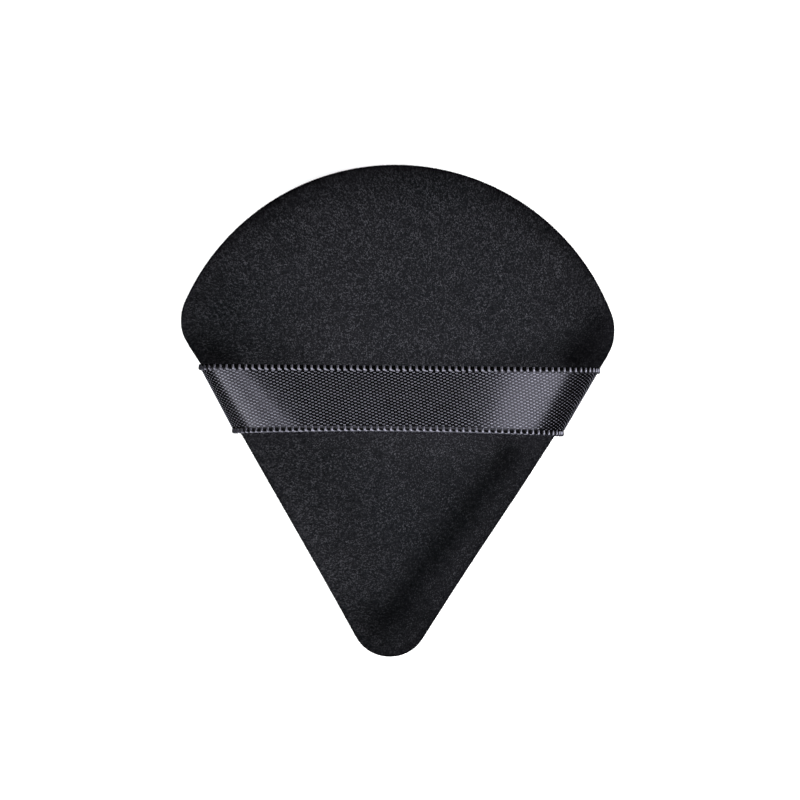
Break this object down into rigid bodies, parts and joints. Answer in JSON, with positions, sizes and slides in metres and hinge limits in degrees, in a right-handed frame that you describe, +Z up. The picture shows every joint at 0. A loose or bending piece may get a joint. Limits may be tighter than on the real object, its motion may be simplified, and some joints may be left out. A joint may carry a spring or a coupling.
{
  "type": "powder puff",
  "caption": "Fan-shaped velour powder puff with a rounded crown and tip, a foam filling and a satin ribbon finger strap sewn across its back.",
  "frame": {"origin": "middle of the puff's footprint, on the flat powder face that lies on the table", "axes": "+Z up through the pad towards the finger strap, +Y from the pointed tip to the round crown, +X across the shoulders along the strap"},
  "size_m": [0.0706, 0.08, 0.0183],
  "materials": {
    "velour": "short-pile cotton velour, black, matt",
    "foam": "soft open-cell foam, dark grey",
    "satin_ribbon": "woven satin ribbon with looped selvedges, black, semi-gloss",
    "sewing_thread": "spun polyester, black, matt"
  },
  "bodies": {
    "pad": {"front_panel": "velour", "back_panel": "velour", "foam_core": "foam", "strap_end_left": "satin_ribbon", "strap_end_right": "satin_ribbon", "needle_thread": "sewing_thread", "bobbin_thread": "sewing_thread", "closing_thread": "sewing_thread"},
    "strap": {"finger_strap": "satin_ribbon"}
  },
  "joints": [
    {"name": "strap_lift", "type": "slide", "parent": "pad", "child": "strap", "axis": [0, 0, 1], "range_m": [0, 0.0046]}
  ]
}
